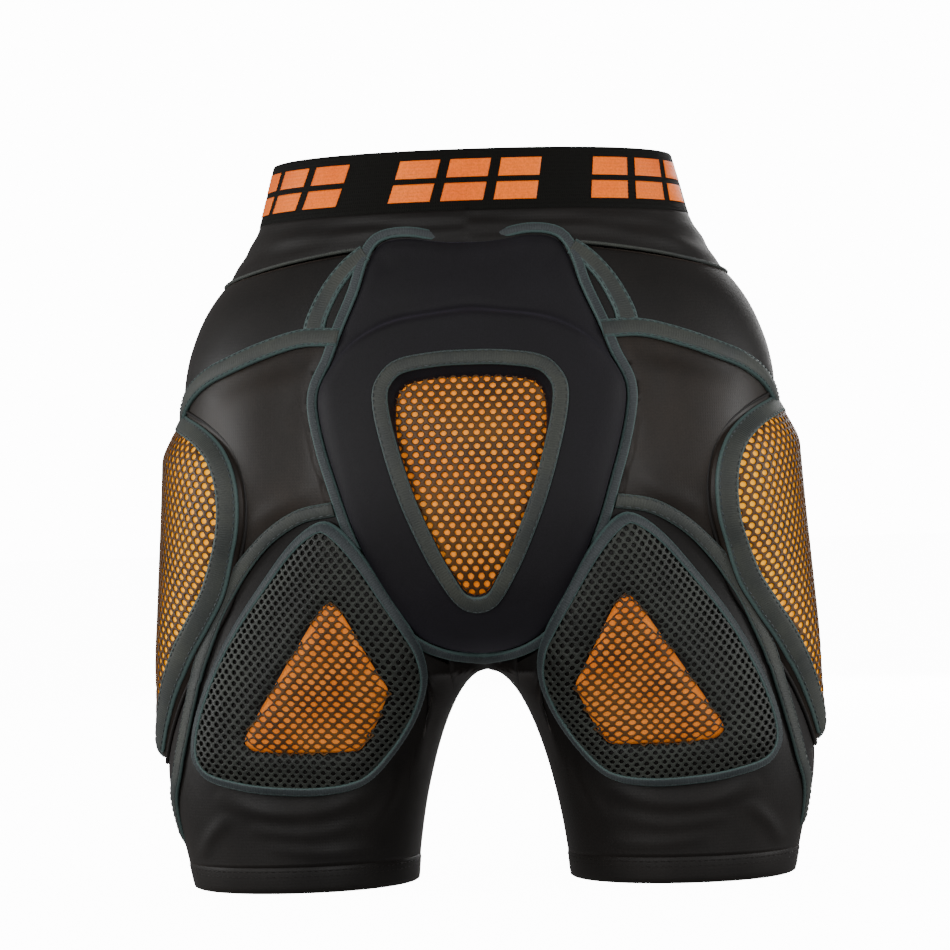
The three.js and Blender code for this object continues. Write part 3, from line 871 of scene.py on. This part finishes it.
def makeWaist():
    # band: a closed section of [height above the cloth, z] carried right round
    low, top = waist["bottom"], waist["top"]
    z = np.linspace(low + 1.2, top - 1.4, 18)
    section = np.vstack([[[-0.3, low], [0.5, low + 0.2]],
                         np.stack([waist["out"] + ribHeight(z), z], -1),
                         [[0.55, top - 0.4], [-0.3, top], [-1.2, top - 0.5]],
                         [[-1.6, top - 2], [-1.6, low + 2], [-1.2, low + 0.4]]])
    turn = ((np.arange(waist["around"]) + 0.5) * 2 / waist["around"])[:, None]
    points = ringAt(turn, section[:, 1], section[:, 0])
    uv = flatPoints(turn * waist["halfRound"], section[:, 1])
    centred(addPiece("waistband_elastic", points, gridFaces(*points.shape[:2], True, True),
                     "wovenElastic", uv), "waistband")

    # yoke: slow ripples as the sum of three sines, none of them at its seams
    t = np.linspace(0, 1, 14)
    z = mix(yokeLow(np.where(turn < 1, 2 * turn - 1, 3 - 2 * turn)), low + 1.0, t)
    wave = (np.sin(turn * 21 + 5 * t) * 0.5 + np.sin(turn * 37 - 9 * t) * 0.35
            + np.sin(turn * 11 + 14 * t) * 0.6)
    points = ringAt(turn, z, 0.4 + 0.75 * wave * np.sin(pi * t) + 0.9 * np.sin(pi * t))
    yoke = addPiece("waist_yoke_cloth", points, gridFaces(*points.shape[:2], True),
                    "knittedNylon", flatPoints(turn * waist["halfRound"], z))
    centred(thicken(yoke, clothThick), "waist_yoke", cloth=True)

    place = np.linspace(-0.72, 1.0, 140)
    path = np.stack([place * body["sideArc"], yokeLow(place)], -1)
    pair("yoke_piping", lambda name: layTape(name, path, tapeSection(2.0, 1.2), offSide,
                                             level(0.9), "wideGrosgrain", closed=False))


# The print: slanted blocks, three by two, six times round the band.
mark = dict(starts=(0, 30, 60), rows=((0, 10.8), (14.2, 25)), block=24, wide=84.0, tall=25.0,
            slant=6.0, low=409.5, every=6, film=0.34, grid=(12, 14))


def makeMarks():
    # block corners in [distance round the band, z], each a fine grid pressed onto the band
    turn = np.linspace(0, 2, 1201)
    length = lengthAlong(ringAt(turn, 422.0, 1.0))
    across, up = np.meshgrid(*[np.linspace(0, 1, count) for count in mark["grid"]], indexing="ij")
    points, uvs = [], []
    for number in range(mark["every"]):
        middle = number * length[-1] / mark["every"]
        for start in mark["starts"]:
            for low, high in mark["rows"]:
                z = mark["low"] + low + up * (high - low)
                lean = ((z - mark["low"]) / mark["tall"] - 0.5) * mark["slant"]
                s = middle - mark["wide"] / 2 + start + across * mark["block"] + lean
                spot = np.interp(np.mod(s, length[-1]), length, turn)
                points.append(ringAt(spot, z, waist["out"] + ribHeight(z) + mark["film"]))
                uvs.append(flatPoints(s, z))
    block = gridFaces(*mark["grid"])
    faces = block[None] + np.arange(len(points))[:, None, None] * across.size
    centred(thicken(addPiece("waistband_print", points, faces.reshape(-1, 4), "transferPrint", uvs),
                    0.12))


# Tailbone panel

tail = dict(
    rim=bothHalves([[0, 142], [20, 144.5], [38, 155], [50, 174], [61, 197], [70, 220], [77, 243],
                    [83.5, 266], [87.5, 288], [86.5, 300], [79.5, 315], [73, 333], [63, 357],
                    [57, 376], [50, 386], [36, 388.5], [14, 385.5], [0, 385]]),
    binding=bothHalves([[0, 174.5], [12, 178], [22, 191], [32.5, 212], [41, 233], [48, 257],
                        [53.5, 286], [52, 300], [42, 311.5], [22, 316], [0, 317]]),
    step=[[-17, 340], [0, 341], [17, 340], [44, 335.5], [63, 326], [79, 312], [95, 296]],
    padded=14.0, thin=5.5, roll=17.0, thinRoll=9.0, dome=4.5, bindingWidth=8.6, seamWidth=6.2,
    half=[[142, 2], [144.5, 20], [155, 38], [174, 49], [197, 61], [220, 70], [243, 77],
          [266, 83.5], [288, 87.5], [300, 86.5], [315, 79.5], [333, 73], [357, 63], [376, 57],
          [388, 52]],
    middle=np.array([0.0, 245.0]), under=1.5, foamUnder=3.2, tapeOut=3.2, openTop=13.0,
    net=dict(pitch=6.3, row=3.9, hole=(3.7, 3.2), thick=0.7, droop=0.35),
    skive=((0.25, 0), (0.5, 0), (0.75, 0), (0.93, 0), (0.97, 0.3), (0.9, 0.6), (0.82, 0.85),
           (0.72, 1), (0.6, 1), (0.45, 1), (0.25, 1)),  # share of the outline, part of the height
)
tail["rimLoop"] = loopThrough(tail["rim"])
tail["bindingLoop"] = loopThrough(tail["binding"])
tail["centreLoop"] = inset(tail["bindingLoop"], tail["bindingWidth"] / 2)
tail["holeLoop"] = inset(tail["bindingLoop"], tail["bindingWidth"] - 0.8)


def tailWell(z):
    # how far the window lies below the cover, deeper towards the top
    return mix(2.0, 7.0, smooth((z - 180) / 110))


def tailCover(flat):
    # cover height by distance from the rim: thin above the crescent step, padded below it
    x, z = flat[..., 0], flat[..., 1]
    padded = smooth((through(tail["step"], np.abs(x)) - z + 3) / 6)
    far = depthInside(flat, tail["rimLoop"])
    top = mix(mix(tail["thin"], 3.0, smooth((z - 350) / 35)), tail["padded"], padded)
    top = top * mix(0.62, 1.0, smooth((z - 146) / 44))
    return top * roundOff(far / mix(tail["thinRoll"], tail["roll"], padded), 1.9)


def tailFloor(flat):
    # height of the net: the cover's less the well, domed up towards the middle
    far = depthInside(flat, tail["holeLoop"])
    return tail["padded"] - tailWell(flat[..., 1]) + tail["dome"] * smooth(far / 42)


def halfTail(z):
    # half width of the panel at a height, a little inside its seam
    return through(tail["half"], z)


def tailLid(flat):
    # the foam's height: under the cover, and under the net where the window is
    window = depthInside(flat, tail["bindingLoop"]) > -1
    under = np.where(window, tailFloor(flat) - tail["foamUnder"], tail["padded"] * 2)
    lid = np.minimum(tailCover(flat) - 5.0, under)
    return np.clip(lid - 1.0, 0.4, None)


def makeTail():
    z = mix(body["crotch"] + 4, 385.0, np.linspace(0, 1, 26)[:, None])
    x = np.linspace(-1, 1, 21)[None] * halfTail(np.clip(z, 143, 388))
    liner = addPiece("tail_liner_cloth", offSeat(x, z, 0.4), gridFaces(26, 21)[:, ::-1],
                     "knittedNylon", flatPoints(x, z))
    centred(thicken(liner, 1.0), "tail_liner", cloth=True)

    crown = tailFloor(tail["middle"][None])[0] - tail["foamUnder"]
    centred(foamBlock("tail_foam", tail["rimLoop"], tail["middle"], tail["skive"], tailLid, offSeat,
                      crown), "tail_pad_foam")

    # cover: down the wall of the window, over its lip, across the pad and down to the seam
    hole, rim = tail["holeLoop"], tail["rimLoop"]
    upper = smooth((hole[:, 1] - 262) / 42)
    loops, heights = [], []
    for drop, shift in ((1.0, 1.0), (0.66, 0.62), (0.33, 0.3), (0.08, 0.08)):
        ring = inset(hole, mix(0.8, 6.0, upper) * shift)
        loops.append(ring)
        heights.append(tail["padded"] - 0.2 - (tailWell(ring[:, 1]) + 0.6) * drop)
    for share in np.concatenate([np.linspace(0, 0.6, 34), np.linspace(0.62, 1, 28)]):
        loops.append(hole + (rim - hole) * share)
        heights.append(tailCover(loops[-1]))
    heights = np.array(heights)  # each then shares with its neighbours, along and across the rings
    heights = (heights + (np.roll(heights, 1, 1) + np.roll(heights, -1, 1)) / 2) / 2
    heights[6:-3] = (heights[6:-3] + (heights[5:-4] + heights[7:-2]) / 2) / 2
    cover = pressed("tail_cover", loops, heights, offSeat, "laminatedKnit")
    rings = np.arange(ringPoints * len(loops)).reshape(-1, ringPoints)
    puff(cover, np.concatenate([rings[:6].ravel(), rings[-3:].ravel()]), 2.2)
    centred(thicken(cover, 1.4), "tail_pad_cover")

    centred(layTape("tail_window_binding", tail["centreLoop"],
                    tapeSection(tail["bindingWidth"], 1.7), offSeat, tailCover, "wideGrosgrain"),
            "tail_window_tape")
    line = evenly(tail["rimLoop"], 400, True)  # the panel's tape is open across its top
    atTop = lambda f: (np.abs(f[:, 0]) < tail["openTop"]) & (f[:, 1] > 300)
    line = np.roll(line, -int(np.argmax(atTop(line))), 0)
    line = line[~atTop(line)]
    line = line - leftOf(line, False) * tail["tapeOut"]
    dip = lambda f: 1.3 - 3.4 * smooth((34 - np.abs(f[..., 0])) / 20) * (f[..., 1] > 300)
    centred(layTape("tail_panel_binding", line, tapeSection(tail["seamWidth"], 2.2), offSeat, dip,
                    "grosgrain", closed=False), "tail_panel_tape")

    inner = inset(hole, mix(0.2, 5.6, upper))
    centred(net("tail_net", inset(inner, -1.2), tail["net"], offSeat, tailFloor, "polyesterNet"),
            "tail_window_mesh", cloth=True)
    centred(filled("tail_orange_cloth", inner, tail["middle"], np.linspace(0.08, 1.02, 14),
                   lambda f: tailFloor(f) - tail["under"], offSeat, "orangeKnit", 0.6), cloth=True)

    rows = [stitchRow(tail["centreLoop"], s, offSeat, lambda f: tailCover(f) + 1.75)
            for s in (-3.3, 3.3)]
    sewn = line[(np.abs(line[:, 0]) > 34) | (line[:, 1] < 300)]
    rows += [stitchRow(sewn, 1.5, offSeat, level(3.6), closed=False)]
    centred(stitches("tail_stitches", rows))


# Cloth panels of the pelvis and the legs

seams = dict(
    hip=[[-1, 333], [-0.67, 331], [-0.5, 324], [-0.25, 310], [0, 293], [0.15, 288]],
    leg=[[18, 133], [36, 146], [51, 170], [64, 196], [74, 217], [82, 229], [96, 226], [112, 219],
         [132, 200], [148, 178], [158, 154], [166, 134], [174, 126], [190, 126]],
    groin=[[0, 196], [20, 196], [60, 186], [110, 162], [150, 138], [172, 126], [190, 126]],
    front=0.15,
)


def besideTail(u, z):
    return mix(placeOf(halfTail(z) - 1.0, z), seams["front"], u)


def heightUnder(across, limit, start=0.0, lowest=90.0, highest=345.0):
    # where going up a line of fixed u first meets a seam given by place and x
    def at(u):
        u = np.asarray(u, float)
        under = lambda m: m < limit(across(u, m), aroundBody(across(u, m), m, start)[..., 0])
        return halve(np.full(u.shape, lowest), np.full(u.shape, highest), under, 18)
    return at


def seamBy(name, isPlace=False):
    # the seam's height, by place round the body or by x
    return lambda place, x: through(seams[name], place if isPlace else x)


def backPlace(u, z):
    return mix(-1.0, 0.0, u) + 0 * z


def frontOfLeg(u, z):
    return mix(0.0, 1.0, u) + 0 * z


hipSeam = heightUnder(besideTail, seamBy("hip", True))
seatLow = heightUnder(besideTail, lambda place, x: np.where(
    place > 0, through(seams["groin"], x), through(seams["leg"], x)))
legTop = heightUnder(backPlace, seamBy("leg"), body["gusset"])
legFrontTop = heightUnder(frontOfLeg, seamBy("groin"), body["gusset"])

thighFolds = [
    ([[60, 62], [95, 50], [130, 50], [158, 60]], 5.0, 1.8),
    ([[70, 42], [105, 36], [140, 40]], 4.0, 1.1),
    ([[52, 74], [60, 52], [74, 34]], 4.0, 1.2),
    ([[150, 48], [163, 34], [170, 20]], 4.0, 1.2),
    ([[60, 26], [95, 24], [128, 28]], 3.5, 0.9),
    ([[30, 118], [38, 96], [44, 70]], 3.5, 1.1),
]
seatFolds = [
    ([[90, 318], [120, 312], [150, 300]], 7.0, -1.0),
    ([[90, 250], [104, 236], [128, 222]], 6.0, 1.2),
    ([[92, 300], [95, 272], [92, 246]], 6.0, 1.0),
]


def makePanels():
    def swelled(name, cap, *grid, lift):
        piece = clothGrid(name, *grid, lift=lift)
        puff(piece, piece["border"], cap)
        return piece

    def bulge(u, t, power):
        return (np.sin(pi * t) * np.sin(pi * np.clip(u, 0, 1))) ** power

    pair("upper_hip_cloth", lambda name: swelled(
        name, 4.0, hipSeam, lambda u: yokeLow(mix(-0.65, seams["front"], u)), besideTail, 44, 26,
        "knittedNylon", lift=lambda x, z, place, u, t: 2.6 * bulge(u, t, 0.5)),
        "upper_hip_panel", cloth=True)
    # the seat cloth's colour is painted lighter and browner, as painted sheen
    pair("seat_cloth", lambda name: swelled(
        name, 3.0, seatLow, hipSeam, besideTail, 52, 48, "brushedNylon",
        lift=lambda x, z, place, u, t: (foldHeight(x, z, seatFolds) * (place < 0)
                                        + 2.2 * bulge(u, t, 0.6))), "seat_panel", cloth=True)

    # a hair past the centre, so that the two front panels close
    frontPlace = lambda u, z: mix(seams["front"], 1.004, u) + 0 * z
    frontLow = heightUnder(frontPlace, seamBy("groin"))
    pair("front_cloth", lambda name: clothGrid(
        name, frontLow, lambda u: yokeLow(mix(seams["front"], 1.0, u)), frontPlace, 40, 36,
        "knittedNylon", lift=lambda x, z, place, u, t: 0.8 * np.sin(pi * u) * np.sin(pi * t)),
        "front_panel", cloth=True)

    hemTop = lambda u: np.full(np.shape(u), 16.0)
    aboveHem = lambda z: smooth((z - 14) / 12)
    pair("leg_back_cloth", lambda name: clothGrid(
        name, hemTop, legTop, backPlace, 96, 80, "knittedNylon",
        lambda x, z, place, u, t: (foldHeight(x, z, thighFolds) * aboveHem(z)
                                   * smooth(-place / 0.1)), body["gusset"]),
        "leg_back_panel", cloth=True)
    pair("leg_front_cloth", lambda name: clothGrid(
        name, hemTop, legFrontTop, frontOfLeg, 48, 44, "knittedNylon",
        lambda x, z, place, u, t: (0.7 * np.sin(z / 7.0 + 4 * u) * np.sin(pi * u) * aboveHem(z)
                                   * (1 - t)), body["gusset"]), "leg_front_panel", cloth=True)

    x, t = np.meshgrid(np.linspace(-1, 1, 13) * body["gusset"], np.linspace(-1, 1, 61),
                       indexing="ij")
    normal = normalTo(underBody, x, np.clip(t, -edgePlace, edgePlace), 0.5, 0.01)
    gusset = addPiece("gusset_cloth", underBody(x, t) + normal * 0.5, gridFaces(13, 61),
                      "knittedNylon", np.stack([x, t * 105], -1))
    centred(thicken(gusset, clothThick), "crotch_gusset", cloth=True)

    def hem(name):
        # folded hem: a rounded closed section carried round the leg
        section = np.array([[-0.2, 0.3], [0.7, 1.0], [1.0, 4], [1.05, 9], [0.95, 14], [0.5, 16.6],
                            [-0.3, 17], [-1.4, 16.4], [-1.6, 9], [-1.4, 1], [-0.9, 0]])
        place = ((np.arange(140) + 0.5) / 70 - 1)[:, None]
        return addPiece(name, offBody(place, section[:, 1], section[:, 0]),
                        gridFaces(140, len(section), True, True), "knittedNylon",
                        flatPoints(place * body["sideArc"], section[:, 1]))

    pair("hem_fold", hem, "leg_hem")
    turn = np.linspace(-1, 1, 400, endpoint=False) + 0.001
    line = flatPoints(turn * body["sideArc"], 13.5)
    pair("hem_stitches", lambda name: stitches(name, [stitchRow(
        line + [0, up], 0, offSide, level(0.95), closed=False) for up in (0.0, -3.0)],
        "knittedNylon"))


# Hip pads, laid out by cloth length from the side seam and height

hip = dict(
    binding=[[-8, 80], [3, 90], [12, 112], [20, 136], [34, 160], [46, 182], [54, 206], [57, 228],
             [54, 250], [42, 270], [22, 284], [-8, 291], [-38, 287], [-62, 279], [-79, 266],
             [-88, 246], [-89.5, 222], [-85, 201], [-74, 181], [-56, 160], [-41, 142], [-29, 122],
             [-18, 98]],
    thick=12.5, roll=15.0, power=1.5, width=9.6, dome=2.5, under=1.4,
    net=dict(pitch=6.2, row=4.0, hole=(3.8, 3.4), thick=0.7, droop=0.35, tilt=8),
    skive=((0.4, 0), (0.7, 0), (0.9, 0), (0.94, 0.4), (0.88, 0.8), (0.78, 1), (0.6, 1), (0.4, 1)),
)
hip["bindingLoop"] = loopThrough(hip["binding"])
hip["rimLoop"] = inset(hip["bindingLoop"], -2.0)


def hipCover(flat):
    # height by distance from the rim, a soft superellipse roll
    far = depthInside(flat, hip["rimLoop"])
    z = flat[..., 1]
    slim = mix(0.8, 1.0, smooth((z - 88) / 50)) * mix(0.12, 1.0, smooth((302 - z) / 42))
    return hip["thick"] * slim * roundOff(far / hip["roll"], hip["power"])


def hipFloor(flat):
    far = depthInside(flat, hip["bindingLoop"])
    return hipCover(flat) + hip["dome"] * smooth((far - 6) / 26) + 0.2


def makeHipPads():
    pair("hip_foam", lambda name: foamBlock(
        name, hip["rimLoop"], np.array([-6.0, 205.0]), hip["skive"],
        lambda f: np.clip(hipCover(f) - 3.4, 0.3, None), offSide, 10.0), "hip_pad_foam")

    def cover(name):
        fars = (10.5, 9.5, 8.0, 6.5, 5.0, 3.8, 2.6, 1.6, 0.8, 0.3, 0.0)
        loops = np.array([inset(hip["rimLoop"], far) for far in fars])
        # the cover shares the seat's cloth, its colour painted lighter and browner as painted sheen
        piece = pressed(name, loops, hipCover(loops) - 0.3, offSide, "brushedNylon")
        rings = np.arange(loops.size // 2).reshape(-1, ringPoints)
        puff(piece, rings[[0, -1]].ravel(), 1.0)
        return thicken(piece, clothThick)

    pair("hip_cover", cover, "hip_pad_cover")
    pair("hip_window_binding", lambda name: layTape(
        name, inset(hip["bindingLoop"], hip["width"] / 2), tapeSection(hip["width"], 1.3), offSide,
        lambda f: hipCover(f) + 0.1, "wideGrosgrain"), "hip_window_tape")
    pair("hip_edge_binding", lambda name: layTape(
        name, inset(hip["rimLoop"], -0.8), tapeSection(2.6, 1.5), offSide, level(0.9),
        "knittedNylon"), "hip_edge_tape")
    inner = inset(hip["bindingLoop"], hip["width"] - 1.6)
    pair("hip_net", lambda name: net(
        name, inner, hip["net"], offSide, hipFloor, "polyesterNet"), "hip_window_mesh", cloth=True)
    pair("hip_amber_cloth", lambda name: filled(
        name, inner, np.array([-8.0, 215.0]), np.linspace(0.08, 1.03, 14),
        lambda f: hipFloor(f) - hip["under"], offSide, "amberKnit", 0.6), cloth=True)
    pair("hip_stitches", lambda name: stitches(name, [stitchRow(
        inset(hip["bindingLoop"], far), 0, offSide, lambda f: hipCover(f) + 1.45)
        for far in (1.4, hip["width"] - 1.4)]))


# Tapes over the seams of the shell

tapes = dict(
    hipSeam=[[75, 330], [96, 330.5], [118, 325], [140, 317], [156, 310], [167, 301]],
    branch=[[59, 380], [68, 373], [78, 361], [86, 346], [89, 337], [89, 329]],
    diagonal=[[80, 229.5], [96, 227], [112, 219.5], [132, 201], [147, 179], [157, 158], [167, 130],
              [174, 104], [179, 84], [183, 66], [186, 52]],
)
tapes["ends"] = {  # the last of each by cloth length and height: under the hip pad, into the hem
    "hipSeam": [[-24.0, 293.5], [-11.0, 285.0]], "diagonal": [[-16.0, 34.0], [-11.0, 17.0]]}


def tapeRise(flat):
    # height of the tapes' underside, let down into the leg and the hem at the diagonal's end
    z = flat[..., 1]
    return 1.6 - 1.2 * smooth((66 - z) / 26) - 2.8 * smooth((36 - z) / 14)


def makeTapes():
    def fromRear(name):
        # a line of x and z turned into cloth length and height, so it can near the side seam
        line = lineThrough(tapes[name], 90)
        line = np.stack([placeOf(line[:, 0], line[:, 1]) * body["sideArc"], line[:, 1]], -1)
        return lineThrough(np.vstack([line[::8], tapes["ends"].get(name, line[-1:])]), 110)

    shapes = (("hip_seam_", "hipSeam", 11.0, 2.6), ("hip_branch_", "branch", 11.5, 2.0),
              ("leg_diagonal_", "diagonal", 8.4, 2.0))
    for name, line, wide, thick in shapes:
        path = fromRear(line)[::-1]
        pair(name + "binding", lambda n: layTape(
            n, path, tapeSection(wide, thick), offSide, tapeRise, "wideGrosgrain", closed=False),
            name + "tape")
        pair(name + "stitches", lambda n: stitches(n, [stitchRow(
            path, s, offSide, lambda f: tapeRise(f) + thick, closed=False)
            for s in (-wide / 2 + 1.2, wide / 2 - 1.2)]))


# Thigh pads, laid out by x and z on the seat side

thigh = dict(
    rim=[[84.5, 223], [71, 213.5], [54, 187.5], [36.7, 150.5], [35, 131], [42.5, 108.5], [56.7, 84],
         [73, 66], [94, 60], [120.5, 60.5], [142.5, 64], [161, 71], [168, 85], [163, 112.5],
         [146, 151.5], [121.5, 189], [101, 214]],
    patch=[[80, 176], [74, 168], [58, 130], [58.5, 124], [74, 92], [79, 88.5], [128, 88.5],
           [134, 93], [133, 99], [114.5, 130.5], [90, 168], [84, 176]],
    thick=11.0, roll=20.0, dome=3.0, width=6.0,
    net=dict(pitch=4.6, row=3.1, hole=(2.4, 2.6), thick=1.1, droop=0.7, tilt=4),
    patchNet=dict(pitch=6.1, row=3.3, hole=(3.9, 3.1), thick=0.7, droop=0.3),
    skive=((0.4, 0), (0.75, 0), (0.93, 0), (0.95, 0.4), (0.9, 0.8), (0.8, 1), (0.55, 1), (0.3, 1)),
)
thigh["rimLoop"] = loopThrough(thigh["rim"])
thigh["patchLoop"] = loopThrough(thigh["patch"])


def thighCover(flat):
    # superellipse roll from the rim, a slow dome, and a groove sewn round the patch
    far = depthInside(flat, thigh["rimLoop"])
    groove = np.exp(-(depthInside(flat, thigh["patchLoop"]) / 3.2) ** 2)
    return (1.5 + thigh["thick"] * roundOff((far + 1) / thigh["roll"], 1.8)
            + thigh["dome"] * smooth(far / 45) - 1.6 * groove)


def makeThighPads():
    above = lambda height: lambda f: thighCover(f) + height
    rim, patch, middle = thigh["rimLoop"], thigh["patchLoop"], np.array([98.0, 125.0])
    pair("thigh_foam", lambda name: foamBlock(
        name, rim, middle, thigh["skive"], lambda f: np.clip(thighCover(f) - 3.2, 0.3, None),
        offRear, 11.0), "thigh_pad_foam")
    shares = np.concatenate([np.linspace(0.08, 0.7, 18), np.linspace(0.74, 1.0, 18)])
    pair("thigh_base_cloth", lambda name: filled(
        name, rim, middle, shares, above(-0.9), offRear, "knittedNylon", 0.8),
        "thigh_pad_cover")
    pair("thigh_spacer_net", lambda name: net(
        name, inset(rim, 2.6), thigh["net"], offRear, above(0.9), "spacerMesh",
        inset(patch, -0.5)), cloth=True)
    pair("thigh_patch_net", lambda name: net(
        name, inset(patch, 1.2), thigh["patchNet"], offRear, above(1.0), "polyesterNet"),
        "thigh_patch", cloth=True)
    pair("thigh_rust_cloth", lambda name: filled(
        name, patch, np.array([92.0, 120.0]), np.linspace(0.1, 1.0, 12), thighCover, offRear,
        "rustKnit", 0.5), cloth=True)
    centre = inset(rim, thigh["width"] / 2)
    pair("thigh_edge_binding", lambda name: layTape(
        name, centre, tapeSection(thigh["width"], 2.4), offRear, above(-0.6), "grosgrain"),
        "thigh_edge_tape")
    pair("thigh_stitches", lambda name: stitches(name, [stitchRow(
        centre, s, offRear, above(1.8)) for s in (-1.7, 1.7)]))


for stage in (makeWaist, makeMarks, makeTail, makePanels, makeHipPads, makeTapes, makeThighPads):
    stage()
    print("done:", stage.__name__)
